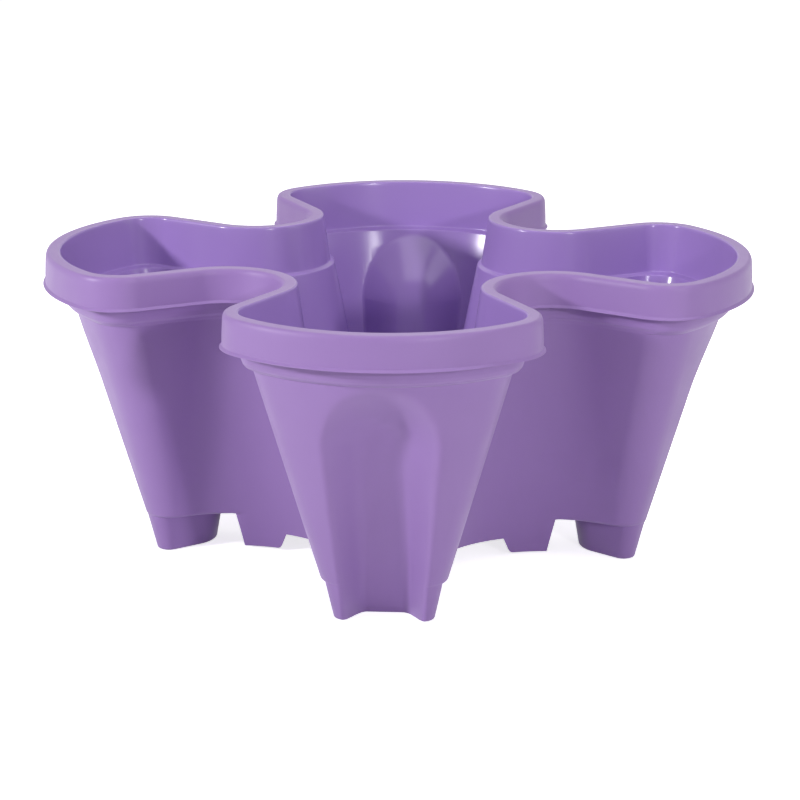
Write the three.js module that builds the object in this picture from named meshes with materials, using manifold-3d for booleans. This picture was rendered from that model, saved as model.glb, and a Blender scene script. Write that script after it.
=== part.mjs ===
// One tier of a stacking planter tower: a four-lobed clover pot with a lift-out grate and four drain plugs.
// Millimetres, +Z up. The lobes lie on the X and Y axes, and the four feet stand on z = 0.
import * as THREE from 'three';
import * as BufferGeometryUtils from 'three/addons/utils/BufferGeometryUtils.js';
import Module from 'manifold-3d';

const wasm = await Module();
wasm.setup();

// Overall sizes of the tier
const TIER_HEIGHT = 154;
const WALL = 2.5;
const VALLEY_CENTRE = 79; // from both axes to the middle of the arc between two lobes
const OVERRUN = 2; // how far a cut runs past what it cuts
const FIT_GAP = 0.3; // air between pieces that rest on each other

// The clover outline of the tier's mouth, along the inner edge of the rim
const MOUTH = { reach: 169, halfWidth: 65.7, endRadius: 89, cornerRadius: 17, neckHalfWidth: 43.4 };

// The rim is a turned-down channel: a flat top, and a skirt with a flared lip
const RIM_WIDTH = 7.6;
const RIM_EDGE_RADIUS = 1.6;
const RIM_INNER_RADIUS = 2.2;
const SKIRT_HEIGHT = 16.6;
const SKIRT_THICKNESS = 2;
const SKIRT_DRAFT = 0.5;
const LIP_HEIGHT = 2;
const LIP_FLARE = 1.2;
const LIP_RISE = 4;

// The wall under the rim leans in a little, and turns inward over a ledge. Drops are measured from the rim top
const THROAT_DRAFT = 3.2;
const LEDGE_DROP = 25.3;
const LEDGE_ROUND = 0.8;
const SHOULDER = {
  topDrop: 21,
  middleDrop: 23.6,
  lowDrop: 25.9,
  middleInset: 1.1,
  lowInset: 2.8,
};

// The tapering body: how far its outside lies in from the mouth at its top, and how it narrows to the step
const BODY_TOP_DROP = 27.4;
const BODY_INSET = { reach: 6.4, halfWidth: 5.7, neckHalfWidth: 3.3 };
const BODY_TAPER = { reach: 31.2, halfWidth: 29.9, neckHalfWidth: 20.9 };
const BODY_TOP_RADII = { endRadius: 88.4, cornerRadius: 19 };
const BODY_LOW_RADII = { endRadius: 49.4, cornerRadius: 12 };
const STEP_HEIGHT = 19;

// Foot cups hang outside the rim of the tier below, in its valleys, a little smaller than the body at the step.
// Their round backs face the axis and stop backSetting short of the middle of the valley
const FOOT_INSET = { reach: 0.2, halfWidth: 2.1 };
const FOOT_TAPER = { reach: 5, halfWidth: 4 };
const FOOT_TOP_FORM = { endRadius: 48, cornerRadius: 7, backSetting: 21.4, backRadius: 19 };
const FOOT_BOTTOM_FORM = { endRadius: 45, cornerRadius: 6, backSetting: 18.1, backRadius: 17 };

// Between foot and centre a slot straddles the rim of the tier below
const SLOT_CLEARANCE = 0.6;
const SLOT_LEG_DRAFT = 2.5;
const LEG_BOTTOM = 1;
const CENTRE_UNDERSIDE = 9.7;
const CENTRE_RADIUS_TOP = 60;
const CENTRE_RADIUS_BOTTOM = 62;

// Arch-shaped hollow pressed into the outer face of each lobe; its outline is given where it meets that face
const HOLLOW_DEPTH = 16.9;
const HOLLOW_ARCH_RADIUS = 31.6;
const HOLLOW_ARCH_DROP = 60.8; // from the rim's top down to the middle of the arch
const HOLLOW_FOOT_HALF_WIDTH = 24.8;
const HOLLOW_SIDE_SPREAD = 1.07; // how far the sides of the hollow run apart for each unit outward

// The lift-out grate over the centre drain hole
const CENTRE_HOLE_RADIUS = 27;
const GRATE_SEAT_WIDTH = 6;
const GRATE_THICKNESS = 2.4;
const GRATE_COLLAR_DROP = 2.2;
const GRATE_COLLAR_WALL = 2;
const GRATE_WEB = 2;
const GRATE_SLOT_WIDTH = 3.2;
const GRATE_SLOT_LENGTH = 7.5;
const GRATE_SLOT_COUNTS = { inner: 6, outer: 12 };
const GRATE_KNOB_RADIUS = 3.2;
const GRATE_KNOB_HEIGHT = 7;

// The push-in plugs in the drain holes of the feet; a plug's head nearly fills the floor of its cup
const PLUG_SIDE_GAP = 0.9;
const PLUG_SEAT_WIDTH = 1.2;
const PLUG_HEAD_THICKNESS = 1.6;
const PLUG_TAB_RADIUS = 1.6;
const PLUG_TAB_HEIGHT = 6;
const PLUG_STEM_WALL = 0.7;
const PLUG_STEM_LIFT = 0.6;

// How finely arcs are divided
const END_STEPS = 4;
const CORNER_STEPS = 5;
const VALLEY_STEPS = 5;
const BACK_STEPS = 6;
const ARCH_STEPS = 12;
const ROUND_STEPS = 48;
const SMALL_ROUND_STEPS = 24;

// Heights above the ground, and places that follow from the sizes
const skirtBottom = TIER_HEIGHT - SKIRT_HEIGHT;
const ledgeHeight = TIER_HEIGHT - LEDGE_DROP;
const bodyTopHeight = TIER_HEIGHT - BODY_TOP_DROP;
const bodyMiddle = (STEP_HEIGHT + bodyTopHeight) / 2;
const archHeight = TIER_HEIGHT - HOLLOW_ARCH_DROP;
const valleyReach = VALLEY_CENTRE * Math.SQRT2; // from the tier's axis to the middle of a valley arc

const mix = (from, to, share) => from + (to - from) * share;

// A section's sizes less the given ones, with the rest of its form
function inset(section, less, form) {
  const result = { ...section, ...form };
  for (const key of Object.keys(less)) {
    result[key] = section[key] - less[key];
  }
  return result;
}

function footForm({ endRadius, cornerRadius, backSetting, backRadius }) {
  return { endRadius, cornerRadius, backRadius, back: valleyReach - backSetting };
}

const bodyTop = inset(MOUTH, BODY_INSET, BODY_TOP_RADII);
const bodyLow = inset(bodyTop, BODY_TAPER, BODY_LOW_RADII);
const footTop = inset(bodyLow, FOOT_INSET, footForm(FOOT_TOP_FORM));
const footBottom = inset(footTop, FOOT_TAPER, footForm(FOOT_BOTTOM_FORM));

function mixSection(low, high, share) {
  const section = {};
  for (const key of Object.keys(low)) {
    section[key] = mix(low[key], high[key], share);
  }
  return section;
}

// The clover section of the body's outer face at a height; it runs on in a straight line past its two ends
function bodySection(height) {
  return mixSection(bodyLow, bodyTop, (height - STEP_HEIGHT) / (bodyTopHeight - STEP_HEIGHT));
}

function footSection(height) {
  return mixSection(footBottom, footTop, height / STEP_HEIGHT);
}

function addArc(points, centre, radius, from, to, steps, withEnd) {
  const last = withEnd ? steps : steps - 1;
  for (let i = 0; i <= last; i++) {
    const angle = mix(from, to, i / steps);
    points.push(new THREE.Vector2(centre.x + radius * Math.cos(angle), centre.y + radius * Math.sin(angle)));
  }
}

// End arc and corner arc of a lobe on +X, from the lobe's axis to its widest part or beyond
function lobeArcs(section, offset) {
  const reach = section.reach + offset;
  const endRadius = section.endRadius + offset;
  const cornerRadius = section.cornerRadius + offset;
  const sideways = section.halfWidth + offset - cornerRadius;
  const endCentre = new THREE.Vector2(reach - endRadius, 0);
  const forward = Math.sqrt(Math.max(0, (endRadius - cornerRadius) ** 2 - sideways ** 2));
  const corner = new THREE.Vector2(endCentre.x + forward, sideways);
  return { endCentre, endRadius, corner, cornerRadius, turn: Math.atan2(sideways, forward) };
}

// One eighth of the clover: end arc, corner arc, straight stretch and valley arc as far as the diagonal
function cloverEighth(section, offset) {
  const { endCentre, endRadius, corner, cornerRadius, turn } = lobeArcs(section, offset);
  const valley = new THREE.Vector2(VALLEY_CENTRE, VALLEY_CENTRE);
  const span = corner.distanceTo(valley);
  const valleyRadius = Math.min(VALLEY_CENTRE - section.neckHalfWidth - offset, span - cornerRadius);
  const towards = Math.atan2(valley.y - corner.y, valley.x - corner.x);
  const tangent = towards - Math.acos(Math.min(1, (cornerRadius + valleyRadius) / span));
  const points = [];
  addArc(points, endCentre, endRadius, 0, turn, END_STEPS, false);
  addArc(points, corner, cornerRadius, turn, tangent, CORNER_STEPS, true);
  addArc(points, valley, valleyRadius, tangent - Math.PI, -0.75 * Math.PI, VALLEY_STEPS, true);
  return points;
}

// The whole clover, anticlockwise from the +X axis
function clover(section, offset = 0) {
  const eighth = cloverEighth(section, offset);
  const mirrored = eighth.slice(1, -1).reverse().map((p) => new THREE.Vector2(p.y, p.x));
  const quarter = [...eighth, ...mirrored];
  const points = [];
  for (let i = 0; i < 4; i++) {
    for (const p of quarter) {
      points.push(p.clone().rotateAround(new THREE.Vector2(), (i * Math.PI) / 2));
    }
  }
  return points;
}

// A foot cup on +X: the end of a lobe outside, a round back inside, and straight sides between them
function footOutline(section, offset) {
  const { endCentre, endRadius, corner, cornerRadius, turn } = lobeArcs(section, offset);
  const back = new THREE.Vector2(section.back + section.backRadius, 0);
  const backRadius = section.backRadius + offset;
  const span = corner.distanceTo(back);
  const towards = Math.atan2(back.y - corner.y, back.x - corner.x);
  const tangent = 2 * Math.PI + towards - Math.acos((cornerRadius - backRadius) / span);
  const half = [];
  addArc(half, endCentre, endRadius, 0, turn, END_STEPS, false);
  addArc(half, corner, cornerRadius, turn, tangent, CORNER_STEPS, true);
  addArc(half, back, backRadius, tangent, Math.PI, BACK_STEPS, true);
  const mirrored = half.slice(1, -1).reverse().map((p) => new THREE.Vector2(p.x, -p.y));
  return [...half, ...mirrored];
}

// A closed body through a stack of rings, each with as many points as the others
function stackGeometry(rings) {
  const count = rings[0].points.length;
  const positions = [];
  for (const ring of rings) {
    for (const p of ring.points) {
      positions.push(p.x, p.y, ring.z);
    }
  }
  const indices = [];
  for (let level = 0; level < rings.length - 1; level++) {
    for (let i = 0; i < count; i++) {
      const a = level * count + i;
      const b = level * count + ((i + 1) % count);
      indices.push(a, b, b + count, a, b + count, a + count);
    }
  }
  const caps = THREE.ShapeUtils.triangulateShape(rings[0].points, []);
  for (const [a, b, c] of caps) {
    indices.push(c, b, a);
  }
  const top = (rings.length - 1) * count;
  for (const [a, b, c] of THREE.ShapeUtils.triangulateShape(rings.at(-1).points, [])) {
    indices.push(top + a, top + b, top + c);
  }
  const geometry = new THREE.BufferGeometry();
  geometry.setAttribute('position', new THREE.Float32BufferAttribute(positions, 3));
  geometry.setIndex(indices);
  return geometry;
}

function toSolid(geometry) {
  geometry.deleteAttribute('normal');
  geometry.deleteAttribute('uv');
  const merged = BufferGeometryUtils.mergeVertices(geometry);
  const vertProperties = new Float32Array(merged.attributes.position.array);
  const triVerts = new Uint32Array(merged.index.array);
  return new wasm.Manifold(new wasm.Mesh({ numProp: 3, vertProperties, triVerts }));
}

function toGeometry(solid) {
  const mesh = solid.getMesh();
  const geometry = new THREE.BufferGeometry();
  geometry.setAttribute('position', new THREE.BufferAttribute(mesh.vertProperties, 3));
  geometry.setIndex(new THREE.BufferAttribute(mesh.triVerts, 1));
  const faceted = geometry.toNonIndexed();
  faceted.computeVertexNormals();
  return faceted;
}

// An upright round plug or cone frustum between two heights
function roundSolid(lowRadius, highRadius, low, high, steps, x = 0, y = 0) {
  const geometry = new THREE.CylinderGeometry(highRadius, lowRadius, high - low, steps);
  geometry.rotateX(Math.PI / 2);
  geometry.translate(x, y, (low + high) / 2);
  return toSolid(geometry);
}

function turned(solid, quarterTurns) {
  return solid.rotate([0, 0, 90 * quarterTurns]);
}

// Joins or cuts the same solid on all four lobes
function onEachLobe(solid, piece, action) {
  let result = solid;
  for (let i = 0; i < 4; i++) {
    result = result[action](turned(piece, i));
  }
  return result;
}

// Outer face from the legs up to the rim's flat top, as one stack of clover rings
function outerStack() {
  const ring = (section, offset, z) => ({ points: clover(section, offset), z });
  const throat = WALL - THROAT_DRAFT;
  const lipWidth = RIM_WIDTH + SKIRT_DRAFT + LIP_FLARE;
  const edge = RIM_EDGE_RADIUS;
  return stackGeometry([
    ring(bodySection(LEG_BOTTOM), 0, LEG_BOTTOM),
    ring(bodySection(STEP_HEIGHT), 0, STEP_HEIGHT),
    ring(bodySection(bodyMiddle), 0, bodyMiddle),
    ring(bodyTop, 0, bodyTopHeight),
    ring(MOUTH, throat - SHOULDER.lowInset, TIER_HEIGHT - SHOULDER.lowDrop),
    ring(MOUTH, throat - SHOULDER.middleInset, TIER_HEIGHT - SHOULDER.middleDrop),
    ring(MOUTH, throat, TIER_HEIGHT - SHOULDER.topDrop),
    ring(MOUTH, WALL, TIER_HEIGHT - WALL),
    ring(MOUTH, RIM_WIDTH - SKIRT_THICKNESS, TIER_HEIGHT - WALL),
    ring(MOUTH, RIM_WIDTH + SKIRT_DRAFT - SKIRT_THICKNESS, skirtBottom + LIP_RISE + LIP_HEIGHT),
    ring(MOUTH, lipWidth - SKIRT_THICKNESS, skirtBottom),
    ring(MOUTH, lipWidth, skirtBottom),
    ring(MOUTH, lipWidth, skirtBottom + LIP_HEIGHT),
    ring(MOUTH, RIM_WIDTH + SKIRT_DRAFT, skirtBottom + LIP_RISE + LIP_HEIGHT),
    ring(MOUTH, RIM_WIDTH, TIER_HEIGHT - edge),
    ring(MOUTH, RIM_WIDTH - edge * (1 - Math.SQRT1_2), TIER_HEIGHT - edge * (1 - Math.SQRT1_2)),
    ring(MOUTH, RIM_WIDTH - edge, TIER_HEIGHT),
  ]);
}

// Inside of the pot above the slots: body, ledge, throat and the rounded inner edge of the rim
function cavityStack(floor) {
  const ring = (section, offset, z) => ({ points: clover(section, offset), z });
  const edge = RIM_INNER_RADIUS;
  return stackGeometry([
    ring(bodySection(floor), -WALL, floor),
    ring(bodySection(bodyMiddle), -WALL, bodyMiddle),
    ring(bodySection(ledgeHeight), -WALL, ledgeHeight),
    ring(MOUTH, -THROAT_DRAFT, ledgeHeight + LEDGE_ROUND),
    ring(MOUTH, 0, TIER_HEIGHT - edge),
    ring(MOUTH, edge * (1 - Math.SQRT1_2), TIER_HEIGHT - edge * (1 - Math.SQRT1_2)),
    ring(MOUTH, edge, TIER_HEIGHT),
    ring(MOUTH, edge, TIER_HEIGHT + OVERRUN),
  ]);
}

// Slot walls are arcs about the valley below: the centre side clears the inner edge of the rim down there
const slotRadius = VALLEY_CENTRE - MOUTH.neckHalfWidth + SLOT_CLEARANCE;

function slotCone(extra, low, high) {
  const slope = SLOT_LEG_DRAFT / (STEP_HEIGHT - LEG_BOTTOM);
  const radius = (height) => slotRadius + extra + slope * (STEP_HEIGHT - height);
  return roundSolid(radius(low), radius(high), low, high, ROUND_STEPS, valleyReach, 0);
}

function footStack(offset, low, high) {
  return toSolid(
    stackGeometry([
      { points: footOutline(footSection(low), offset), z: low },
      { points: footOutline(footSection(high), offset), z: high },
    ]),
  );
}

// The disc between the legs whose underside is raised; grow pushes its side and its top out by a wall
function centreDisc(grow, low) {
  const high = CENTRE_UNDERSIDE + grow;
  const slope = (CENTRE_RADIUS_BOTTOM - CENTRE_RADIUS_TOP) / (CENTRE_UNDERSIDE - LEG_BOTTOM);
  const radius = (height) => CENTRE_RADIUS_TOP + grow + slope * (CENTRE_UNDERSIDE - height);
  return roundSolid(radius(low), radius(high), low, high, ROUND_STEPS);
}

// Outline of the hollow, sideways and up, widened all round by grow. It runs on below the ground
function hollowOutline(grow) {
  const radius = HOLLOW_ARCH_RADIUS + grow;
  const slope = (HOLLOW_ARCH_RADIUS - HOLLOW_FOOT_HALF_WIDTH) / archHeight;
  const bottomHalf = HOLLOW_FOOT_HALF_WIDTH + grow - slope * OVERRUN;
  const points = [new THREE.Vector2(bottomHalf, -OVERRUN)];
  addArc(points, new THREE.Vector2(0, archHeight), radius, 0, Math.PI, ARCH_STEPS, true);
  points.push(new THREE.Vector2(-bottomHalf, -OVERRUN));
  return points;
}

// The lobe's end face leans outward; carried on down, it would meet the ground at faceAtGround
const lean = Math.atan2(bodyTop.reach - bodyLow.reach, bodyTopHeight - STEP_HEIGHT);
const faceAtGround = bodyLow.reach - Math.tan(lean) * STEP_HEIGHT;

// The floor of a foot cup runs from its round back to the wall behind the hollow. The plug's head fits
// between them, and the drain hole lies under its middle
const cupBack = footSection(WALL).back + WALL;
const cupFront = faceAtGround + Math.tan(lean) * WALL - (HOLLOW_DEPTH + WALL) / Math.cos(lean);
const cupRadius = Math.min((cupFront - cupBack) / 2, footBottom.backRadius - WALL);
const plugHeadRadius = cupRadius - PLUG_SIDE_GAP;
const footHoleRadius = plugHeadRadius - PLUG_SEAT_WIDTH;
const footHoleReach = cupBack + cupRadius;

// Frustum that presses the hollow into the face of the +X lobe. It leans with the face
function hollowSolid(sink) {
  const sideShift = sink * Math.hypot(1, HOLLOW_SIDE_SPREAD);
  const outline = (depth) => hollowOutline(sideShift - depth * HOLLOW_SIDE_SPREAD);
  const floorDepth = HOLLOW_DEPTH + sink;
  const floor = outline(floorDepth);
  const count = floor.length;
  const positions = [];
  for (const depth of [floorDepth, -OVERRUN]) {
    const face = faceAtGround - depth / Math.cos(lean);
    for (const p of outline(depth)) {
      positions.push(face + p.y * Math.tan(lean), p.x, p.y);
    }
  }
  const indices = [];
  for (let i = 0; i < count; i++) {
    const j = (i + 1) % count;
    indices.push(i, j, j + count, i, j + count, i + count);
  }
  for (const [a, b, c] of THREE.ShapeUtils.triangulateShape(floor, [])) {
    indices.push(c, b, a);
    indices.push(a + count, b + count, c + count);
  }
  const geometry = new THREE.BufferGeometry();
  geometry.setAttribute('position', new THREE.Float32BufferAttribute(positions, 3));
  geometry.setIndex(indices);
  return toSolid(geometry);
}

// Everything the pot encloses, with the slots, hollows and raised centre standing up into it by one wall
function cavitySolid() {
  const legFloor = LEG_BOTTOM + WALL;
  const slotCrown = STEP_HEIGHT + WALL;
  let centre = toSolid(
    stackGeometry([
      { points: clover(bodySection(legFloor), -WALL), z: legFloor },
      { points: clover(bodySection(slotCrown), -WALL), z: slotCrown },
    ]),
  );
  centre = onEachLobe(centre, slotCone(WALL, legFloor - OVERRUN, slotCrown + OVERRUN), 'subtract');
  centre = centre.subtract(centreDisc(WALL, legFloor - OVERRUN));
  let cavity = toSolid(cavityStack(slotCrown)).add(centre);
  cavity = onEachLobe(cavity, footStack(-WALL, WALL, slotCrown), 'add');
  return onEachLobe(cavity, hollowSolid(WALL), 'subtract');
}

function planterTier() {
  let solid = toSolid(outerStack());
  solid = onEachLobe(solid, slotCone(0, -OVERRUN, STEP_HEIGHT), 'subtract');
  solid = solid.subtract(centreDisc(0, -OVERRUN));
  solid = onEachLobe(solid, footStack(0, 0, STEP_HEIGHT + WALL / 2), 'add');
  solid = onEachLobe(solid, hollowSolid(0), 'subtract');
  solid = solid.subtract(cavitySolid());
  const holeTop = CENTRE_UNDERSIDE + WALL + OVERRUN;
  solid = solid.subtract(roundSolid(CENTRE_HOLE_RADIUS, CENTRE_HOLE_RADIUS, 0, holeTop, ROUND_STEPS));
  const drain = roundSolid(
    footHoleRadius, footHoleRadius, -OVERRUN, WALL + OVERRUN, SMALL_ROUND_STEPS, footHoleReach, 0,
  );
  return toGeometry(onEachLobe(solid, drain, 'subtract'));
}

// A ring of radial slots through the grate, each a box with its length along the radius
function grateSlots(count, outer, height) {
  const slots = [];
  for (let i = 0; i < count; i++) {
    const geometry = new THREE.BoxGeometry(GRATE_SLOT_LENGTH, GRATE_SLOT_WIDTH, height);
    geometry.translate(outer - GRATE_SLOT_LENGTH / 2, 0, 0);
    geometry.rotateZ((i / count) * 2 * Math.PI);
    slots.push(toSolid(geometry));
  }
  return slots;
}

// The grate lies on the raised centre floor, and its collar hangs in the hole
function centreDrainGrate() {
  const collar = CENTRE_HOLE_RADIUS - FIT_GAP;
  const bore = collar - GRATE_COLLAR_WALL;
  const edge = CENTRE_HOLE_RADIUS + GRATE_SEAT_WIDTH;
  const profile = [
    [0, 0],
    [bore, 0],
    [bore, -GRATE_COLLAR_DROP],
    [collar, -GRATE_COLLAR_DROP],
    [collar, 0],
    [edge, 0],
    [edge, GRATE_THICKNESS],
    [GRATE_KNOB_RADIUS, GRATE_THICKNESS],
    [GRATE_KNOB_RADIUS, GRATE_KNOB_HEIGHT],
    [0, GRATE_KNOB_HEIGHT],
  ];
  const lathe = new THREE.LatheGeometry(profile.map(([x, y]) => new THREE.Vector2(x, y)), ROUND_STEPS);
  lathe.rotateX(Math.PI / 2);
  let solid = toSolid(lathe);
  const cutHeight = 2 * (GRATE_THICKNESS + OVERRUN);
  const outerRing = bore - GRATE_WEB;
  const innerRing = outerRing - GRATE_SLOT_LENGTH - GRATE_WEB;
  const slots = [
    ...grateSlots(GRATE_SLOT_COUNTS.outer, outerRing, cutHeight),
    ...grateSlots(GRATE_SLOT_COUNTS.inner, innerRing, cutHeight),
  ];
  for (const slot of slots) {
    solid = solid.subtract(slot);
  }
  return toGeometry(solid);
}

// A push-in plug: a flat head on the foot's floor, a hollow stem in the hole and a tab to pull it out
function drainPlug() {
  const stem = footHoleRadius - FIT_GAP;
  const bore = stem - PLUG_STEM_WALL;
  const stemBottom = PLUG_STEM_LIFT - WALL - FIT_GAP;
  const profile = [
    [0, 0],
    [bore, 0],
    [bore, stemBottom],
    [stem, stemBottom],
    [stem, 0],
    [plugHeadRadius, 0],
    [plugHeadRadius, PLUG_HEAD_THICKNESS],
    [PLUG_TAB_RADIUS, PLUG_HEAD_THICKNESS],
    [PLUG_TAB_RADIUS, PLUG_TAB_HEIGHT],
    [0, PLUG_TAB_HEIGHT],
  ];
  const lathe = new THREE.LatheGeometry(profile.map(([x, y]) => new THREE.Vector2(x, y)), SMALL_ROUND_STEPS);
  lathe.rotateX(Math.PI / 2);
  return toGeometry(toSolid(lathe));
}

const tierPlastic = new THREE.MeshStandardMaterial({ color: 0x9170b2, roughness: 0.42, metalness: 0 });
const gratePlastic = new THREE.MeshStandardMaterial({ color: 0x86669f, roughness: 0.5, metalness: 0 });
const plugPlastic = new THREE.MeshStandardMaterial({ color: 0x7c5c95, roughness: 0.6, metalness: 0 });

function addPiece(group, name, geometry, material) {
  const mesh = new THREE.Mesh(geometry, material);
  mesh.name = name;
  group.add(mesh);
  return mesh;
}

const group = new THREE.Group();
addPiece(group, 'planter_tier', planterTier(), tierPlastic);

const grate = addPiece(group, 'centre_drain_grate', centreDrainGrate(), gratePlastic);
grate.position.z = CENTRE_UNDERSIDE + WALL + FIT_GAP;

const PLUG_PLACES = ['right', 'back', 'left', 'front'];
PLUG_PLACES.forEach((place, i) => {
  const plug = addPiece(group, `drain_plug_${place}`, drainPlug(), plugPlastic);
  plug.position.set(footHoleReach, 0, WALL + FIT_GAP);
  plug.position.applyAxisAngle(new THREE.Vector3(0, 0, 1), (i * Math.PI) / 2);
});

export default group;
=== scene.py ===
import math

import bpy
import numpy as np
from mathutils import Matrix, Vector


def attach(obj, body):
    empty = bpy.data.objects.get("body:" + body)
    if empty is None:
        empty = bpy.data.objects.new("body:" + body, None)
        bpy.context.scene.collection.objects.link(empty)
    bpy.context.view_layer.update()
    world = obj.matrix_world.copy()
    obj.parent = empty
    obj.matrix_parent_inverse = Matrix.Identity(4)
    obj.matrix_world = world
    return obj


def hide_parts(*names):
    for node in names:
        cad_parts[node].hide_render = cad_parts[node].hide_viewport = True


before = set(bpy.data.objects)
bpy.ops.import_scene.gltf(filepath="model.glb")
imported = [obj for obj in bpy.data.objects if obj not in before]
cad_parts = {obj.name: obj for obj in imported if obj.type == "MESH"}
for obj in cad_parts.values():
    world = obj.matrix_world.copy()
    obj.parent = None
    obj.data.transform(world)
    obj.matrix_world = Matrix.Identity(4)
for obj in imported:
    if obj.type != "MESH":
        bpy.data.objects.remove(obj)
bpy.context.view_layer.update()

# Sizes of the tier in metres. The lobes lie on the X and Y axes, and the feet stand on z = 0
TIER_HEIGHT = 0.154
WALL = 0.0025
VALLEY_CENTRE = 0.079  # from both axes to the middle of the arc between two lobes
OVERRUN = 0.002  # how far a cut runs past what it cuts
FIT_GAP = 0.0003

# Clover outlines: the mouth along the rim's inner edge, and the body's outer face at top and step
MOUTH = {"reach": 0.169, "half_width": 0.0657, "end_radius": 0.089, "corner_radius": 0.017,
         "neck": 0.0434}
BODY_TOP = {"reach": 0.1626, "half_width": 0.060, "end_radius": 0.0884, "corner_radius": 0.019,
            "neck": 0.0401}
BODY_LOW = {"reach": 0.1314, "half_width": 0.0301, "end_radius": 0.0494, "corner_radius": 0.012,
            "neck": 0.0192}
BODY_TOP_DROP = 0.0274
STEP_HEIGHT = 0.019
STEP_ROUNDING = 0.0018
STEP_END_SHARE = 0.25  # how much of the step's rounding is left where a lobe's end faces outward

# Rim channel: flat top, skirt and flared lip
RIM_WIDTH = 0.0076
RIM_OUTER_ROUNDING = 0.0036
RIM_INNER_ROUNDING = 0.0018
SKIRT_HEIGHT = 0.0166
SKIRT_THICKNESS = 0.002
SKIRT_DRAFT = 0.0005
LIP_HEIGHT = 0.002
LIP_FLARE = 0.0012
LIP_RISE = 0.004
LIP_ROUNDING = 0.0002
BEAD_HEIGHT = 0.0003
BEAD_WIDTH = 0.0011
CHANNEL_ROOT_ROUNDING = 0.0005
SKIRT_INNER_ROUNDING = 0.0015
SKIRT_OUTER_ROUNDING = 0.0018

# Throat inside the rim, the ledge under it and the shoulder outside it
THROAT_DRAFT = 0.0032
LEDGE_DROP = 0.0253
LEDGE_STEP = 0.0008
LEDGE_ROUNDING = 0.0006
THROAT_TOP_ROUNDING = 0.0012
RIM_INNER_EDGE_SHARE = 0.2  # where the rim's inner rounding starts, as a share of it
# Drops from the rim's top and insets from the throat
SHOULDER = ((0.0224, 0.0), (0.0243, 0.0007), (0.0257, 0.0020), (0.0268, 0.0042))
SHOULDER_ROUNDING = 0.0004
SHOULDER_MARGIN = 0.0003  # how far the shoulder's foot stands out from the body at least
BODY_TOP_ROUNDING = 0.0012

# Foot cups, with round backs towards the axis
FOOT_TOP = {"reach": 0.1312, "half_width": 0.028, "end_radius": 0.048, "corner_radius": 0.007,
            "back": 0.0903, "back_radius": 0.019}
FOOT_BOTTOM = {"reach": 0.1262, "half_width": 0.024, "end_radius": 0.045, "corner_radius": 0.006,
               "back": 0.0936, "back_radius": 0.017}
FOOT_ROUNDING = 0.0014

# Slots about the valleys of the tier below, the legs between them and the raised disc in the middle
SLOT_CLEARANCE = 0.0006
SLOT_LEG_DRAFT = 0.0025
LEG_BOTTOM = 0.001
LEG_ROUNDING = 0.0009
SLOT_EDGE_ROUNDING = 0.0006
DISC_EDGE_ROUNDING = 0.0028
CROWN_ROUNDING = 0.0012
CENTRE_UNDERSIDE = 0.0097
CENTRE_RADIUS_TOP = 0.060
CENTRE_RADIUS_BOTTOM = 0.062

# Arch-shaped hollow in the outer face of each lobe, and the bump that it makes inside
HOLLOW_DEPTH = 0.0169
HOLLOW_ARCH_RADIUS = 0.0326
HOLLOW_ARCH_DROP = 0.0618
HOLLOW_FOOT_HALF_WIDTH = 0.0215
HOLLOW_FLOOR_HALF_WIDTH = 0.0108
HOLLOW_EDGE_BLEND = 0.003
HOLLOW_FLOOR_BLEND = 0.004
BUMP_FLOOR_BLEND = 0.0055
BUMP_FILLET = 0.0015
BUMP_LEDGE_GAP = 0.0008

# The lift-out grate and the drain hole in the middle that it covers
CENTRE_HOLE_RADIUS = 0.027
GRATE_SEAT_WIDTH = 0.006
GRATE_THICKNESS = 0.0024
GRATE_COLLAR_DROP = 0.0022
GRATE_COLLAR_WALL = 0.002
GRATE_WEB = 0.002
GRATE_SLOT_WIDTH = 0.0032
GRATE_SLOT_LENGTH = 0.0075
GRATE_SLOT_COUNTS = (12, 6)
GRATE_KNOB_RADIUS = 0.0032
GRATE_KNOB_HEIGHT = 0.007

# Plugs in the drain holes of the feet
PLUG_SIDE_GAP = 0.0009
PLUG_SEAT_WIDTH = 0.0012
PLUG_HEAD_THICKNESS = 0.0016
PLUG_TAB_RADIUS = 0.0016
PLUG_TAB_HEIGHT = 0.006
PLUG_STEM_WALL = 0.0007
PLUG_STEM_LIFT = 0.0006

# How finely arcs and heights are divided
END_STEPS = 40
CORNER_STEPS = 12
VALLEY_STEPS = 20
BACK_STEPS = 14
BODY_ROW_HEIGHT = 0.0013
CAVITY_ROWS = 16
ROUNDING_STEPS = 5
STEP_SHARES = (0, 0.25, 0.5, 0.75)
ROUND_STEPS = 144
DRAIN_STEPS = 48
PLUG_STEPS = 64
SLOT_END_STEPS = 12
LEAST_RADIUS = 0.00002  # of a turned body where it meets its axis
ARCH_STEPS = 72
# Depths of the hollow, in metres, between which the inner bumps get so many levels
BUMP_LEVELS = ((-0.002, 0.010, 34), (0.010, 0.014, 4), (0.014, 0.023, 14), (0.023, 0.027, 2))

# Places that follow from the sizes
skirt_bottom = TIER_HEIGHT - SKIRT_HEIGHT
ledge_height = TIER_HEIGHT - LEDGE_DROP
body_top_height = TIER_HEIGHT - BODY_TOP_DROP
arch_height = TIER_HEIGHT - HOLLOW_ARCH_DROP
valley_reach = VALLEY_CENTRE * math.sqrt(2)
slot_radius = VALLEY_CENTRE - MOUTH["neck"] + SLOT_CLEARANCE
face_slope = (BODY_TOP["reach"] - BODY_LOW["reach"]) / (body_top_height - STEP_HEIGHT)
face_at_ground = BODY_LOW["reach"] - face_slope * STEP_HEIGHT
face_lean = math.cos(math.atan(face_slope))

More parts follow.
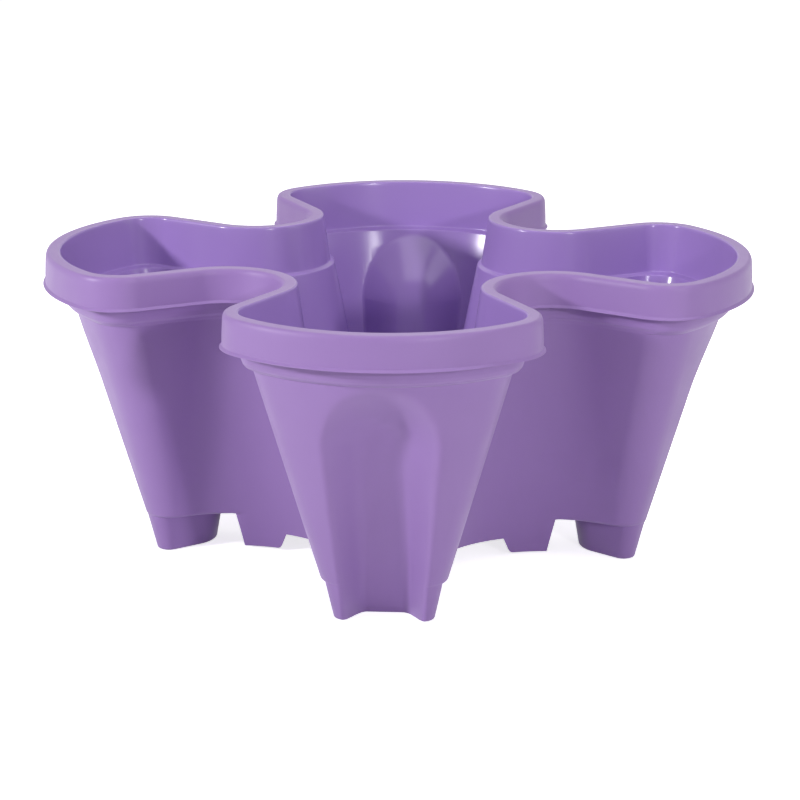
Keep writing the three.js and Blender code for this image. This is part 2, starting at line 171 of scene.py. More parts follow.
# The camera, solved from the outlines of the rim and the feet. Angles are in degrees
CAMERA_PLACE = (0.0730, -1.3792, 0.4656)
CAMERA_TURN = 2.978
CAMERA_PITCH = 15.79
CAMERA_ROLL = 0.151
SENSOR_WIDTH = 36.0
IMAGE_WIDTH = 800
FOCAL_IN_PIXELS = 2818.9
FARTHEST_SEEN = 20

# Lamps: name, bearing from the front (positive to the right) and elevation in degrees, size in
# metres and power in watts
LAMPS = (
    ("left", -60.5, 21.5, 0.14, 18.3),
    ("left_front", -36, 26, 0.5, 0.3),
    ("right", 28, 19, 0.1, 8),
    ("far_right", 75, 18, 0.8, 3.6),
    ("right_high", 70, 58, 0.6, 2.9),
    ("top", 0, 80, 1.0, 8),
    ("back", 180, 50, 0.8, 6),
)
LAMP_DISTANCE = 1.8
LAMP_TARGET = Vector((0, 0, 0.08))
WORLD_LIGHT = 0.175
FLOOR_HALF_WIDTH = 6
FLOOR_DROP = 0.0002
FLOOR_MATT = 0.88
FLOOR_GLOW = 0.75

# Shading and the skin that all the plastics share: scales are per metre, and the angle is in degrees
CREASE_ANGLE = 32
NORMAL_WEIGHT = 50
FLOW_SCALE = 14
FLOW_DETAIL = 4
FLOW_DARK = 0.94
FLOW_LIGHT = 1.05
WEAR_SCALE = 60
WEAR_DETAIL = 6
WEAR_RANGE = (0.3, 0.7)
WEAR_ROUGHNESS = (0.88, 1.12)
SKIN_SCALE = 1400
SKIN_DETAIL = 3
SKIN_HEIGHT = 0.0001
EDGE_SAMPLES = 6
SHEEN_ROUGHNESS = 0.6


def mix_section(low, high, share):
    """The outline's sizes at a share of the way from one section to another."""
    return {key: low[key] + (high[key] - low[key]) * share for key in low}


def body_section(height):
    return mix_section(BODY_LOW, BODY_TOP, (height - STEP_HEIGHT) / (body_top_height - STEP_HEIGHT))


def foot_section(height):
    return mix_section(FOOT_BOTTOM, FOOT_TOP, height / STEP_HEIGHT)


def arc(centre, radius, start, end, steps, with_end=True):
    angles = start + (end - start) * np.arange(steps + 1 if with_end else steps) / steps
    x, y = centre
    return np.stack([x + radius * np.cos(angles), y + radius * np.sin(angles)], axis=1)


def lobe_arcs(section, offset):
    """Centres, radii and the turning angle of a lobe's end arc and corner arc, for the lobe on +X."""
    end_radius = section["end_radius"] + offset
    corner_radius = section["corner_radius"] + offset
    sideways = section["half_width"] + offset - corner_radius
    end_x = section["reach"] + offset - end_radius
    forward = math.sqrt(max(0, (end_radius - corner_radius) ** 2 - sideways ** 2))
    corner = (end_x + forward, sideways)
    return (end_x, 0), end_radius, corner, corner_radius, math.atan2(sideways, forward)


def clover(section, offset=0.0):
    """The clover outline, anticlockwise from the +X axis, as an array of points."""
    end, end_radius, corner, corner_radius, turn = lobe_arcs(section, offset)
    valley = (VALLEY_CENTRE, VALLEY_CENTRE)
    span = math.dist(corner, valley)
    valley_radius = min(VALLEY_CENTRE - section["neck"] - offset, span - corner_radius)
    towards = math.atan2(valley[1] - corner[1], valley[0] - corner[0])
    tangent = towards - math.acos(min(1, (corner_radius + valley_radius) / span))
    eighth = np.concatenate([
        arc(end, end_radius, 0, turn, END_STEPS, False),
        arc(corner, corner_radius, turn, tangent, CORNER_STEPS),
        arc(valley, valley_radius, tangent - math.pi, -0.75 * math.pi, VALLEY_STEPS),
    ])
    quarter = np.concatenate([eighth, eighth[-2:0:-1, ::-1]])
    return np.concatenate([turned(quarter, i) for i in range(4)])


def foot_outline(section, offset=0.0):
    """The outline of the foot cup on +X: a lobe's end outside, a round back inside."""
    end, end_radius, corner, corner_radius, turn = lobe_arcs(section, offset)
    back_radius = section["back_radius"] + offset
    back = (section["back"] + section["back_radius"], 0)
    towards = math.atan2(back[1] - corner[1], back[0] - corner[0])
    lean = math.acos((corner_radius - back_radius) / math.dist(corner, back))
    tangent = 2 * math.pi + towards - lean
    half = np.concatenate([
        arc(end, end_radius, 0, turn, END_STEPS, False),
        arc(corner, corner_radius, turn, tangent, CORNER_STEPS),
        arc(back, back_radius, tangent, math.pi, BACK_STEPS),
    ])
    return np.concatenate([half, half[-2:0:-1] * (1, -1)])


def turned(points, quarter_turns):
    """Points turned about the upright axis by quarter turns."""
    c, s = ((1, 0), (0, 1), (-1, 0), (0, -1))[quarter_turns]
    result = points.copy()
    result[:, 0] = points[:, 0] * c - points[:, 1] * s
    result[:, 1] = points[:, 0] * s + points[:, 1] * c
    return result


def ring(outline, z):
    """An outline's points at a height."""
    return np.column_stack([outline, np.full(len(outline), z)])


def round_ring(radius, z, x=0.0, y=0.0, steps=ROUND_STEPS):
    angles = 2 * math.pi * np.arange(steps) / steps
    return ring(np.stack([x + radius * np.cos(angles), y + radius * np.sin(angles)], axis=1), z)


def rounded(keys):
    """Rings through key rings. A key is (ring, rounding): its corner is cut back so far and curved."""
    rings = []
    for i, (middle, rounding) in enumerate(keys):
        if not rounding or i in (0, len(keys) - 1):
            rings.append(middle)
            continue
        before, after = keys[i - 1][0] - middle, keys[i + 1][0] - middle
        before_length = np.linalg.norm(before, axis=1, keepdims=True)
        after_length = np.linalg.norm(after, axis=1, keepdims=True)
        start = middle + before * np.minimum(rounding / before_length, 0.5)
        end = middle + after * np.minimum(rounding / after_length, 0.5)
        for step in range(ROUNDING_STEPS + 1):
            t = step / ROUNDING_STEPS
            rings.append(start * (1 - t) ** 2 + middle * 2 * t * (1 - t) + end * t ** 2)
    return rings


def closed_solid(rings):
    """Points and faces of a closed body through rings, from its lowest cap to its top cap."""
    count = len(rings[0])
    faces = []
    for level in range(len(rings) - 1):
        low, high = level * count, (level + 1) * count
        faces += [(low + i, low + (i + 1) % count, high + (i + 1) % count, high + i)
                  for i in range(count)]
    top = (len(rings) - 1) * count
    faces.append(tuple(reversed(range(count))))
    faces.append(tuple(range(top, top + count)))
    return np.concatenate(rings), faces


def together(solids):
    """Several bodies that don't touch, as one."""
    points, faces, first = [], [], 0
    for body_points, body_faces in solids:
        points.append(body_points)
        faces += [tuple(first + i for i in face) for face in body_faces]
        first += len(body_points)
    return np.concatenate(points), faces


def on_each_lobe(solid):
    """A body made for the lobe on +X, on all four lobes."""
    points, faces = solid
    return together([(turned(points, i), faces) for i in range(4)])


def new_object(name, solid, *materials):
    points, faces = solid
    mesh = bpy.data.meshes.new(name)
    mesh.from_pydata(points.tolist(), [], faces)
    mesh.validate()
    piece = bpy.data.objects.new(name, mesh)
    bpy.context.scene.collection.objects.link(piece)
    for material in materials:
        mesh.materials.append(material)
    return piece


def combine(piece, tool, operation):
    """Joins the tool to the piece or cuts it from the piece, and takes the tool away."""
    modifier = piece.modifiers.new("combine", "BOOLEAN")
    modifier.operation = operation
    modifier.solver = "MANIFOLD"
    modifier.object = tool
    bpy.context.view_layer.update()
    depsgraph = bpy.context.evaluated_depsgraph_get()
    mesh = bpy.data.meshes.new_from_object(piece.evaluated_get(depsgraph))
    piece.modifiers.clear()
    piece.data = mesh
    bpy.data.objects.remove(tool)
    if not mesh.polygons:
        raise RuntimeError("nothing is left after combining " + piece.name)


def smooth_minimum(a, b, blend):
    """The lower of two values, rounded off where they are nearer to each other than the blend."""
    near = np.maximum(blend - np.abs(a - b), 0) / blend
    return np.minimum(a, b) - near * near * blend / 4


def side_spread(half_width):
    """How fast a hollow's side widens with its depth, for a floor of the same width at every height."""
    return (half_width - HOLLOW_FLOOR_HALF_WIDTH) / HOLLOW_DEPTH


def press_hollows(points):
    """Presses the four arch-shaped hollows into points of the outer face, along each lobe's axis."""
    result = points.copy()
    for i in range(4):
        p = turned(result, i)
        side, z = np.abs(p[:, 1]), p[:, 2]
        widening = (HOLLOW_ARCH_RADIUS - HOLLOW_FOOT_HALF_WIDTH) * z / arch_height
        half_width = np.minimum(HOLLOW_FOOT_HALF_WIDTH + widening, HOLLOW_ARCH_RADIUS)
        inside = half_width - np.hypot(side, np.maximum(z - arch_height, 0))
        depth = smooth_minimum(inside / side_spread(half_width), HOLLOW_DEPTH, HOLLOW_FLOOR_BLEND)
        hollow = face_at_ground - depth / face_lean + z * face_slope
        pressed = smooth_minimum(p[:, 0], hollow, HOLLOW_EDGE_BLEND)
        p[:, 0] = np.where(z > body_top_height, p[:, 0], pressed)
        result = turned(p, (4 - i) % 4)
    return result


def outward_ways(level_ring):
    """The level way outward at each point of a ring."""
    along = np.roll(level_ring, -1, axis=0) - np.roll(level_ring, 1, axis=0)
    outward = np.stack([along[:, 1], -along[:, 0]], axis=1)
    return outward / np.linalg.norm(outward, axis=1, keepdims=True)


def kept_outside(level_ring, inner_ring, margin):
    """A ring, pushed out where it would come closer than the margin to the ring inside it."""
    outward = outward_ways(inner_ring)
    gap = ((level_ring - inner_ring)[:, :2] * outward).sum(axis=1)
    result = level_ring.copy()
    result[:, :2] += outward * np.maximum(margin - gap, 0)[:, None]
    return result


def step_rounding(section_ring, amount):
    """Draws the lobes in by amount at their sides and by less at their ends; the legs stay."""
    result = section_ring.copy()
    weight = np.zeros(len(result))
    for i in range(4):
        p = turned(result, i)
        gap = slot_radius - np.hypot(p[:, 0] - valley_reach, p[:, 1])
        weight = np.maximum(weight, np.clip(gap / STEP_ROUNDING + 0.5, 0, 1))
    outward = outward_ways(result)
    on_x = np.abs(result[:, 0]) > np.abs(result[:, 1])
    sideways = 1 - np.where(on_x, outward[:, 0], outward[:, 1]) ** 2
    share = STEP_END_SHARE + (1 - STEP_END_SHARE) * sideways
    result[:, :2] -= outward * (weight * share * amount)[:, None]
    return result


def outer_rings():
    """Rings of the outer face: legs, step, body, shoulder, and the rim's channel, skirt and lip."""
    throat = WALL - THROAT_DRAFT
    skirt = RIM_WIDTH + SKIRT_DRAFT
    lip = skirt + LIP_FLARE
    leg = ring(clover(body_section(LEG_BOTTOM)), LEG_BOTTOM)
    leg_floor = ring(clover(body_section(LEG_BOTTOM), -LEG_ROUNDING * 2), LEG_BOTTOM)
    step = ring(clover(body_section(STEP_HEIGHT)), STEP_HEIGHT)
    rings = rounded([(leg_floor, 0), (leg, LEG_ROUNDING), (step, 0)])[:-1]
    rings[1:] = [step_rounding(r, STEP_ROUNDING) for r in rings[1:]]
    for share in STEP_SHARES:
        angle = share * math.pi / 2
        height = STEP_HEIGHT + STEP_ROUNDING * (1 - math.cos(angle))
        inset = STEP_ROUNDING * (1 - math.sin(angle))
        rings.append(step_rounding(ring(clover(body_section(height)), height), inset))
    first = STEP_HEIGHT + STEP_ROUNDING
    rows = round((body_top_height - first) / BODY_ROW_HEIGHT)
    heights = np.linspace(first, body_top_height, rows + 1)
    rings += [ring(clover(body_section(h)), h) for h in heights[:-1]]
    body_end = ring(clover(BODY_TOP), body_top_height)
    keys = [(rings[-1], 0), (body_end, BODY_TOP_ROUNDING)]
    for drop, inset in reversed(SHOULDER):
        level = ring(clover(MOUTH, throat - inset), TIER_HEIGHT - drop)
        keys.append((kept_outside(level, body_end, SHOULDER_MARGIN), SHOULDER_ROUNDING))
    # Offset from the mouth, height and rounding: under the rim, down inside the skirt, up outside it
    for offset, height, rounding in (
        (WALL, TIER_HEIGHT - WALL, CHANNEL_ROOT_ROUNDING),
        (RIM_WIDTH - SKIRT_THICKNESS, TIER_HEIGHT - WALL, CHANNEL_ROOT_ROUNDING),
        (skirt - SKIRT_THICKNESS, skirt_bottom + LIP_RISE + LIP_HEIGHT, SKIRT_INNER_ROUNDING),
        (lip - SKIRT_THICKNESS, skirt_bottom, LIP_ROUNDING),
        (lip, skirt_bottom, LIP_ROUNDING),
        (lip, skirt_bottom + BEAD_HEIGHT, LIP_ROUNDING),
        (lip - BEAD_WIDTH, skirt_bottom + BEAD_HEIGHT + BEAD_WIDTH, LIP_ROUNDING),
        (skirt, skirt_bottom + LIP_RISE + LIP_HEIGHT, SKIRT_OUTER_ROUNDING),
        (RIM_WIDTH, TIER_HEIGHT, RIM_OUTER_ROUNDING),
        (RIM_WIDTH / 2, TIER_HEIGHT, 0),
    ):
        keys.append((ring(clover(MOUTH, offset), height), rounding))
    return rings + rounded(keys)[1:]


def tapered_tool(wall, low, high, low_rounding, high_rounding):
    """A round tool. wall gives its ring at a height; it flares at the legs' bottom if rounded there."""
    keys = [(wall(high), high_rounding), (wall(high, -2 * OVERRUN), 0)]
    if low_rounding:
        keys = [(wall(low, 2 * OVERRUN), 0), (wall(LEG_BOTTOM, 2 * OVERRUN), 0),
                (wall(LEG_BOTTOM), low_rounding)] + keys
    else:
        keys = [(wall(low), 0)] + keys
    return closed_solid(rounded(keys))


def slot_cone(extra, low, high, low_rounding, high_rounding):
    """A cone about the valley below, pushed out by extra."""
    slope = SLOT_LEG_DRAFT / (STEP_HEIGHT - LEG_BOTTOM)

    def wall(z, more=0.0):
        return round_ring(slot_radius + extra + slope * (STEP_HEIGHT - z) + more, z, valley_reach)

    return tapered_tool(wall, low, high, low_rounding, high_rounding)


def centre_disc(grow, low, low_rounding, high_rounding):
    """The disc under the raised middle of the floor, pushed out and up by grow."""
    slope = (CENTRE_RADIUS_BOTTOM - CENTRE_RADIUS_TOP) / (CENTRE_UNDERSIDE - LEG_BOTTOM)

    def wall(z, more=0.0):
        return round_ring(CENTRE_RADIUS_TOP + grow + slope * (CENTRE_UNDERSIDE - z) + more, z)

    return tapered_tool(wall, low, CENTRE_UNDERSIDE + grow, low_rounding, high_rounding)


def feet():
    """The four foot cups' outsides, filled."""
    top = STEP_HEIGHT + WALL / 2
    rows = round((top - 2 * FOOT_ROUNDING) / BODY_ROW_HEIGHT)
    floor = ring(foot_outline(FOOT_BOTTOM, -2 * FOOT_ROUNDING), 0)
    edge = ring(foot_outline(FOOT_BOTTOM), 0)
    heights = np.linspace(2 * FOOT_ROUNDING, top, rows + 1)
    wall = [ring(foot_outline(foot_section(h)), h) for h in heights]
    rings = rounded([(floor, 0), (edge, FOOT_ROUNDING), (wall[0], 0)]) + wall[1:]
    return on_each_lobe(closed_solid(rings))


def foot_cups():
    """What the feet enclose, up into the body above the slots."""
    top = STEP_HEIGHT + WALL + OVERRUN
    keys = [
        (ring(foot_outline(foot_section(WALL), -WALL - OVERRUN), WALL), 0),
        (ring(foot_outline(foot_section(WALL), -WALL), WALL), FOOT_ROUNDING),
        (ring(foot_outline(foot_section(top), -WALL), top), 0),
    ]
    return on_each_lobe(closed_solid(rounded(keys)))


def bump_outline(depth):
    """Outline of an inner bump at a depth, as if it had no floor, and each point's way outward."""
    foot, arch = (width + WALL * math.hypot(1, side_spread(width)) - side_spread(width) * depth
                  for width in (HOLLOW_FOOT_HALF_WIDTH, HOLLOW_ARCH_RADIUS))
    bow = arc((0, 0), 1, 0, math.pi, ARCH_STEPS)
    outline = np.concatenate([[(foot, -OVERRUN)], bow * arch + (0, arch_height), [(-foot, -OVERRUN)]])
    return outline, np.concatenate([[(1, 0)], bow, [(-1, 0)]])


def inner_face_reach(side, z):
    """How far from the axis the inside of a lobe's end is, at a way to the side and a height."""
    section = body_section(z)
    radius = section["end_radius"] - WALL
    return section["reach"] - section["end_radius"] + np.sqrt(radius ** 2 - side ** 2)


def inner_bumps():
    """The hollows as they stand out into the pot, one wall further in, with a fillet at the wall."""
    levels = []
    for first, last, count in reversed(BUMP_LEVELS):
        for depth in np.linspace(last, first, count, endpoint=False):
            outline, outward = bump_outline(depth)
            floor = smooth_minimum(depth, HOLLOW_DEPTH + WALL, BUMP_FLOOR_BLEND)
            foot_reach = face_at_ground - floor / face_lean
            reach = foot_reach + outline[:, 1] * face_slope
            proud = np.clip(inner_face_reach(outline[:, 0], outline[:, 1]) - reach, 0, BUMP_FILLET)
            flare = BUMP_FILLET - np.sqrt(BUMP_FILLET ** 2 - (BUMP_FILLET - proud) ** 2)
            outline += outward * flare[:, None]
            outline[:, 1] = np.minimum(outline[:, 1], ledge_height - BUMP_LEDGE_GAP)
            levels.append(np.column_stack([foot_reach + outline[:, 1] * face_slope, outline]))
    return on_each_lobe(closed_solid(levels))


def cavity_rings():
    """Rings of the inner face: floor over the legs, body, ledge, throat and the rim's inner edge."""
    leg_floor = LEG_BOTTOM + WALL
    heights = np.linspace(leg_floor + OVERRUN, ledge_height, CAVITY_ROWS)
    body = [(ring(clover(body_section(h), -WALL), h), 0) for h in heights[:-1]]
    inner_edge = RIM_INNER_ROUNDING * RIM_INNER_EDGE_SHARE
    keys = [
        (ring(clover(body_section(leg_floor), -WALL - OVERRUN), leg_floor), 0),
        (ring(clover(body_section(leg_floor), -WALL), leg_floor), LEG_ROUNDING),
        *body,
        (ring(clover(body_section(ledge_height), -WALL), ledge_height), LEDGE_ROUNDING),
        (ring(clover(MOUTH, -THROAT_DRAFT), ledge_height + LEDGE_STEP), LEDGE_ROUNDING),
        (ring(clover(MOUTH), TIER_HEIGHT - RIM_INNER_ROUNDING), THROAT_TOP_ROUNDING),
        (ring(clover(MOUTH, inner_edge), TIER_HEIGHT), RIM_INNER_ROUNDING),
        (ring(clover(MOUTH, RIM_INNER_ROUNDING), TIER_HEIGHT), 0),
        (ring(clover(MOUTH, RIM_INNER_ROUNDING), TIER_HEIGHT + OVERRUN), 0),
    ]
    return rounded(keys)


def add_cavity(materials):
    """Everything the pot encloses, as a tool that cuts it out."""
    crown = STEP_HEIGHT + WALL
    cavity = new_object("cavity", closed_solid(cavity_rings()), *materials)
    low = LEG_BOTTOM + WALL - OVERRUN
    cones = on_each_lobe(slot_cone(WALL, low, crown, 0, CROWN_ROUNDING))
    combine(cavity, new_object("cones", cones, *materials), "DIFFERENCE")
    disc = centre_disc(WALL, low, 0, CROWN_ROUNDING)
    combine(cavity, new_object("disc", disc, *materials), "DIFFERENCE")
    combine(cavity, new_object("cups", foot_cups(), *materials), "UNION")
    combine(cavity, new_object("bumps", inner_bumps(), *materials), "DIFFERENCE")
    for face in cavity.data.polygons:
        face.material_index = 1
    return cavity


def foot_hole():
    """Reach and radius of a foot's drain hole, and the radius of the head of its plug."""
    cup_back = foot_section(WALL)["back"] + WALL
    cup_front = face_at_ground + face_slope * WALL - (HOLLOW_DEPTH + WALL) / face_lean
    cup_radius = min((cup_front - cup_back) / 2, FOOT_BOTTOM["back_radius"] - WALL)
    head = cup_radius - PLUG_SIDE_GAP
    return cup_back + cup_radius, head - PLUG_SEAT_WIDTH, head


def finish_shape(piece):
    """Smooth shading with crisp edges, and normals that follow the larger faces."""
    mesh = piece.data
    for face in mesh.polygons:
        face.use_smooth = True
    mesh.set_sharp_from_angle(angle=math.radians(CREASE_ANGLE))
    modifier = piece.modifiers.new("normals", "WEIGHTED_NORMAL")
    modifier.keep_sharp = True
    modifier.weight = NORMAL_WEIGHT


def press_hollows_into(piece):
    """Presses the hollows into a piece's mesh."""
    mesh = piece.data
    points = np.empty(len(mesh.vertices) * 3)
    mesh.vertices.foreach_get("co", points)
    mesh.vertices.foreach_set("co", press_hollows(points.reshape(-1, 3)).ravel())
    mesh.update()


def cut_drain_holes(tier, materials):
    """Cuts the round hole in the middle and the small ones in the feet."""
    heights = (LEG_BOTTOM, CENTRE_UNDERSIDE + WALL + OVERRUN)
    hole = closed_solid([round_ring(CENTRE_HOLE_RADIUS, z) for z in heights])
    combine(tier, new_object("hole", hole, *materials), "DIFFERENCE")
    reach, radius, _ = foot_hole()
    heights = (-OVERRUN, WALL + OVERRUN)
    drain = closed_solid([round_ring(radius, z, reach, steps=DRAIN_STEPS) for z in heights])
    combine(tier, new_object("drains", on_each_lobe(drain), *materials), "DIFFERENCE")


def make_tier(outside, inside):
    """The pot: an outer body less its slots and disc, with feet, hollows, cavity and drain holes."""
    materials = (outside, inside)
    low = -2 * OVERRUN
    tier = new_object("moulded_tier", closed_solid(outer_rings()), *materials)
    cones = on_each_lobe(slot_cone(0, low, STEP_HEIGHT, SLOT_EDGE_ROUNDING, 0))
    combine(tier, new_object("slots", cones, *materials), "DIFFERENCE")
    disc = centre_disc(0, low, DISC_EDGE_ROUNDING, 0)
    combine(tier, new_object("disc", disc, *materials), "DIFFERENCE")
    combine(tier, new_object("feet", feet(), *materials), "UNION")
    press_hollows_into(tier)
    combine(tier, add_cavity(materials), "DIFFERENCE")
    cut_drain_holes(tier, materials)
    finish_shape(tier)
    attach(tier, "tier")
    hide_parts("planter_tier")


def turned_profile(profile, steps):
    """A closed body turned about the upright axis from corners (radius, height, rounding), upward."""
    keys = [(round_ring(max(radius, LEAST_RADIUS), z, steps=steps), rounding)
            for radius, z, rounding in profile]
    return closed_solid(rounded(keys))


def grate_slot(outer, turn):
    """A slot with round ends, its length along the radius."""
    half, radius = GRATE_SLOT_LENGTH / 2, GRATE_SLOT_WIDTH / 2
    outline = np.concatenate([
        arc((half - radius, 0), radius, -math.pi / 2, math.pi / 2, SLOT_END_STEPS),
        arc((radius - half, 0), radius, math.pi / 2, 1.5 * math.pi, SLOT_END_STEPS),
    ]) + (outer - half, 0)
    c, s = math.cos(turn), math.sin(turn)
    x, y = outline[:, 0], outline[:, 1]
    outline = np.stack([x * c - y * s, x * s + y * c], axis=1)
    return closed_solid([ring(outline, z) for z in (-OVERRUN, GRATE_THICKNESS + OVERRUN)])


def make_grate(material):
    """The perforated disc, with its collar below and its knob on top."""
    collar = CENTRE_HOLE_RADIUS - FIT_GAP
    bore = collar - GRATE_COLLAR_WALL
    edge = CENTRE_HOLE_RADIUS + GRATE_SEAT_WIDTH
    knob, knob_top, thick = GRATE_KNOB_RADIUS, GRATE_KNOB_HEIGHT, GRATE_THICKNESS
    profile = [
        (0, 0, 0), (bore, 0, 0.0004),
        (bore, -GRATE_COLLAR_DROP, 0.0004), (collar, -GRATE_COLLAR_DROP, 0.0006),
        (collar, 0, 0.0003), (edge, 0, 0.0006), (edge, thick, 0.0009),
        (knob * 1.05, thick, 0.0012), (knob * 0.8, thick + (knob_top - thick) * 0.45, 0.0012),
        (knob, knob_top * 0.85, 0.0008), (knob * 0.85, knob_top, 0.0008), (0, knob_top, 0),
    ]
    grate = new_object("drain_grate", turned_profile(profile, ROUND_STEPS), material)
    outer = bore - GRATE_WEB
    rows = zip(GRATE_SLOT_COUNTS, (outer, outer - GRATE_SLOT_LENGTH - GRATE_WEB))
    slots = [grate_slot(reach, 2 * math.pi * i / count)
             for count, reach in rows for i in range(count)]
    combine(grate, new_object("grate_slots", together(slots), material), "DIFFERENCE")
    grate.data.transform(Matrix.Translation((0, 0, CENTRE_UNDERSIDE + WALL + FIT_GAP)))
    finish_shape(grate)
    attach(grate, "grate")
    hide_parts("centre_drain_grate")


def make_plugs(material):
    """The four plugs: a hollow stem, a head and a tab to pull."""
    reach, hole, head = foot_hole()
    stem = hole - FIT_GAP
    bore = stem - PLUG_STEM_WALL
    stem_foot = PLUG_STEM_LIFT - WALL - FIT_GAP
    tab, tab_top, thick = PLUG_TAB_RADIUS, PLUG_TAB_HEIGHT, PLUG_HEAD_THICKNESS
    profile = [
        (0, 0, 0), (bore, 0, 0.0002),
        (bore, stem_foot, 0.0001), (stem, stem_foot, 0.0003), (stem, 0, 0.0001),
        (head, 0, 0.0003), (head, thick, 0.0005),
        (tab, thick, 0.0005), (tab * 0.8, tab_top * 0.6, 0.0006),
        (tab, tab_top * 0.85, 0.0005), (tab * 0.8, tab_top, 0.0004), (0, tab_top, 0),
    ]
    for i, place in enumerate(("right", "back", "left", "front")):
        plug = new_object("foot_plug_" + place, turned_profile(profile, PLUG_STEPS), material)
        turn = Matrix.Rotation(i * math.pi / 2, 4, "Z")
        plug.data.transform(turn @ Matrix.Translation((reach, 0, WALL + FIT_GAP)))
        finish_shape(plug)
        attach(plug, "plug_" + place)
        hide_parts("drain_plug_" + place)


def link(tree, start, end):
    tree.links.new(start, end)


def add_noise(tree, place, scale, detail):
    """A noise over the object's own coordinates."""
    noise = tree.nodes.new("ShaderNodeTexNoise")
    noise.inputs["Scale"].default_value = scale
    noise.inputs["Detail"].default_value = detail
    link(tree, place, noise.inputs["Vector"])
    return noise.outputs["Fac"]


def moulded_plastic(name, colour, roughness, grain, edge_radius, specular, sheen):
    """Moulded plastic: faint flow marks in its colour, a fine grained skin and softened edges."""
    material = bpy.data.materials.new(name)
    material.use_nodes = True
    tree = material.node_tree
    shader = tree.nodes["Principled BSDF"]
    shader.inputs["Specular IOR Level"].default_value = specular
    shader.inputs["Sheen Weight"].default_value = sheen
    shader.inputs["Sheen Roughness"].default_value = SHEEN_ROUGHNESS
    place = tree.nodes.new("ShaderNodeTexCoord").outputs["Object"]

    flow = add_noise(tree, place, FLOW_SCALE, FLOW_DETAIL)
    tint = tree.nodes.new("ShaderNodeMix")
    tint.data_type = "RGBA"
    tint.inputs["A"].default_value = (*[c * FLOW_DARK for c in colour], 1)
    tint.inputs["B"].default_value = (*[min(1, c * FLOW_LIGHT) for c in colour], 1)
    link(tree, flow, tint.inputs["Factor"])
    link(tree, tint.outputs["Result"], shader.inputs["Base Color"])

    wear = add_noise(tree, place, WEAR_SCALE, WEAR_DETAIL)
    dull = tree.nodes.new("ShaderNodeMapRange")
    for end, level, share in zip(("Min", "Max"), WEAR_RANGE, WEAR_ROUGHNESS):
        dull.inputs["From " + end].default_value = level
        dull.inputs["To " + end].default_value = roughness * share
    link(tree, wear, dull.inputs["Value"])
    link(tree, dull.outputs["Result"], shader.inputs["Roughness"])

    skin = add_noise(tree, place, SKIN_SCALE, SKIN_DETAIL)
    edges = tree.nodes.new("ShaderNodeBevel")
    edges.samples = EDGE_SAMPLES
    edges.inputs["Radius"].default_value = edge_radius
    bump = tree.nodes.new("ShaderNodeBump")
    bump.inputs["Strength"].default_value = grain
    bump.inputs["Distance"].default_value = SKIN_HEIGHT
    link(tree, skin, bump.inputs["Height"])
    link(tree, edges.outputs["Normal"], bump.inputs["Normal"])
    link(tree, bump.outputs["Normal"], shader.inputs["Normal"])
    return material


def srgb(red, green, blue):
    """A linear colour from eight-bit display values."""
    return tuple(c / 12.92 if c <= 0.04045 else ((c + 0.055) / 1.055) ** 2.4
                 for c in (red / 255, green / 255, blue / 255))


def satin_purple():
    """The pot's outside, off a grained mould."""
    return moulded_plastic("satin_purple", srgb(148, 116, 179), roughness=0.46, grain=0.35,
                           edge_radius=0.0002, specular=0.4, sheen=0.1)


def glossy_purple_painted_light():
    """The pot's inside, off a polished core. Its colour is painted lighter than the outside's plastic,
    as painted light for the extra light that fills the inside.
    """
    return moulded_plastic("glossy_purple_painted_light", srgb(160, 130, 199), roughness=0.2, grain=0.08,
                           edge_radius=0.0004, specular=0.34, sheen=0)


def grate_purple():
    """The grate's plastic, a shade darker than the pot's."""
    return moulded_plastic("grate_purple", srgb(136, 104, 172), roughness=0.42, grain=0.3,
                           edge_radius=0.0003, specular=0.4, sheen=0.2)


def plug_purple():
    """The plugs' softer, duller plastic."""
    return moulded_plastic("plug_purple", srgb(124, 93, 158), roughness=0.55, grain=0.4,
                           edge_radius=0.0002, specular=0.4, sheen=0.2)


def make_camera():
    """The camera of the photograph: turned to the left, tipped down and rolled a little."""
    turn, pitch, roll = (math.radians(a) for a in (CAMERA_TURN, CAMERA_PITCH, CAMERA_ROLL))
    level = math.cos(pitch)
    ahead = Vector((-math.sin(turn) * level, math.cos(turn) * level, -math.sin(pitch)))
    right = Vector((math.cos(turn), math.sin(turn), 0))
    up = right.cross(ahead)
    tilted_right = right * math.cos(roll) + up * math.sin(roll)
    tilted_up = tilted_right.cross(ahead)
    data = bpy.data.cameras.new("camera")
    data.sensor_fit = "HORIZONTAL"
    data.sensor_width = SENSOR_WIDTH
    data.lens = FOCAL_IN_PIXELS * SENSOR_WIDTH / IMAGE_WIDTH
    data.clip_end = FARTHEST_SEEN
    camera = bpy.data.objects.new("camera", data)
    rows = Matrix((tilted_right, tilted_up, -ahead)).transposed().to_4x4()
    camera.matrix_world = Matrix.Translation(CAMERA_PLACE) @ rows
    bpy.context.scene.collection.objects.link(camera)
    bpy.context.scene.camera = camera


def add_area_light(name, place, target, size, power):
    """A square lamp at a place, turned to its target."""
    data = bpy.data.lights.new(name, "AREA")
    data.shape = "SQUARE"
    data.size = size
    data.energy = power
    lamp = bpy.data.objects.new(name, data)
    lamp.location = place
    lamp.rotation_euler = (target - place).to_track_quat("-Z", "Y").to_euler()
    bpy.context.scene.collection.objects.link(lamp)


def make_lights():
    """Two small lamps, left and right of the camera, cast the shadows; broad weak ones fill in."""
    for name, bearing, elevation, size, power in LAMPS:
        turn, rise = math.radians(bearing), math.radians(elevation)
        level = math.cos(rise)
        away = Vector((level * math.sin(turn), -level * math.cos(turn), math.sin(rise)))
        add_area_light(name, LAMP_TARGET + away * LAMP_DISTANCE, LAMP_TARGET, size, power)


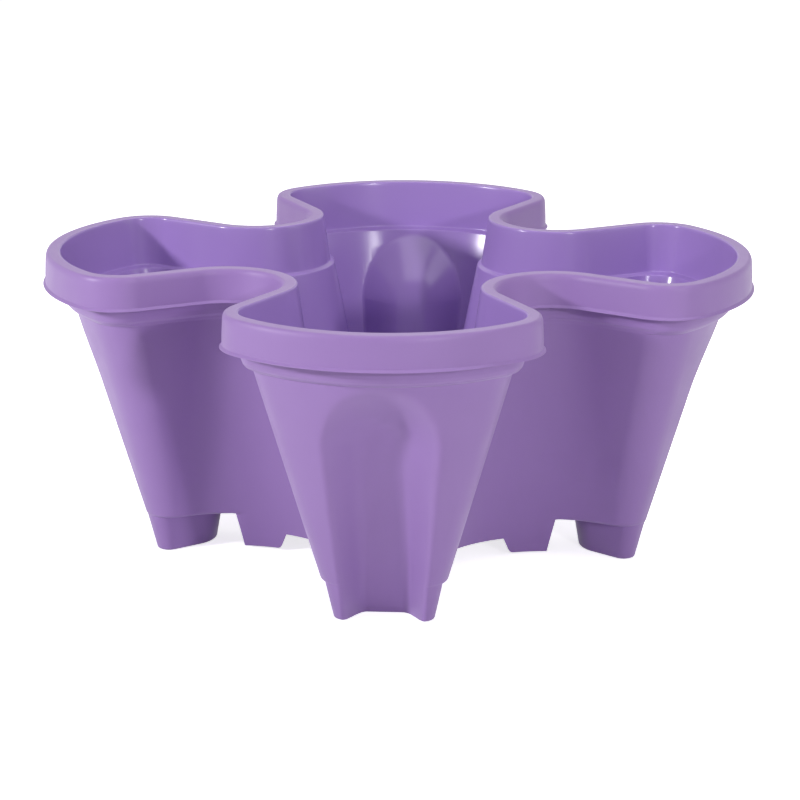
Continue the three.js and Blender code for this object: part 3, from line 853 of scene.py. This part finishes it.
def seen_directly(tree):
    """1 for camera, glossy and transmission rays, 0 for the rays that light the object."""
    path = tree.nodes.new("ShaderNodeLightPath")
    total = path.outputs["Is Camera Ray"]
    for kind in ("Is Glossy Ray", "Is Transmission Ray"):
        more = tree.nodes.new("ShaderNodeMath")
        more.operation = "MAXIMUM"
        link(tree, total, more.inputs[0])
        link(tree, path.outputs[kind], more.inputs[1])
        total = more.outputs[0]
    return total


def make_world():
    """Weak even light, white to the camera and in reflections."""
    world = bpy.data.worlds.new("studio")
    bpy.context.scene.world = world
    world.use_nodes = True
    tree = world.node_tree
    light = tree.nodes["Background"]
    light.inputs["Color"].default_value = (1, 1, 1, 1)
    light.inputs["Strength"].default_value = WORLD_LIGHT
    white = tree.nodes.new("ShaderNodeBackground")
    white.inputs["Strength"].default_value = 1
    choose = tree.nodes.new("ShaderNodeMixShader")
    link(tree, seen_directly(tree), choose.inputs[0])
    link(tree, light.outputs[0], choose.inputs[1])
    link(tree, white.outputs[0], choose.inputs[2])
    link(tree, choose.outputs[0], tree.nodes["World Output"].inputs["Surface"])


def make_floor():
    """A pale floor that keeps the shadow and is nearly white to the camera and in reflections."""
    half = FLOOR_HALF_WIDTH
    corners = [(-half, -half, 0), (half, -half, 0), (half, half, 0), (-half, half, 0)]
    mesh = bpy.data.meshes.new("floor")
    mesh.from_pydata(corners, [], [(0, 1, 2, 3)])
    floor = bpy.data.objects.new("floor", mesh)
    floor.location.z = -FLOOR_DROP
    bpy.context.scene.collection.objects.link(floor)
    material = bpy.data.materials.new("pale_floor")
    material.use_nodes = True
    tree = material.node_tree
    tree.nodes.remove(tree.nodes["Principled BSDF"])
    matt = tree.nodes.new("ShaderNodeBsdfDiffuse")
    matt.inputs["Color"].default_value = (FLOOR_MATT, FLOOR_MATT, FLOOR_MATT, 1)
    glow = tree.nodes.new("ShaderNodeEmission")
    glow.inputs["Color"].default_value = (FLOOR_GLOW, FLOOR_GLOW, FLOOR_GLOW, 1)
    link(tree, seen_directly(tree), glow.inputs["Strength"])
    both = tree.nodes.new("ShaderNodeAddShader")
    link(tree, matt.outputs[0], both.inputs[0])
    link(tree, glow.outputs[0], both.inputs[1])
    link(tree, both.outputs[0], tree.nodes["Material Output"].inputs["Surface"])
    mesh.materials.append(material)


make_camera()
make_lights()
make_world()
make_floor()
make_tier(satin_purple(), glossy_purple_painted_light())
make_grate(grate_purple())
make_plugs(plug_purple())
bpy.context.scene.view_settings.view_transform = "Standard"
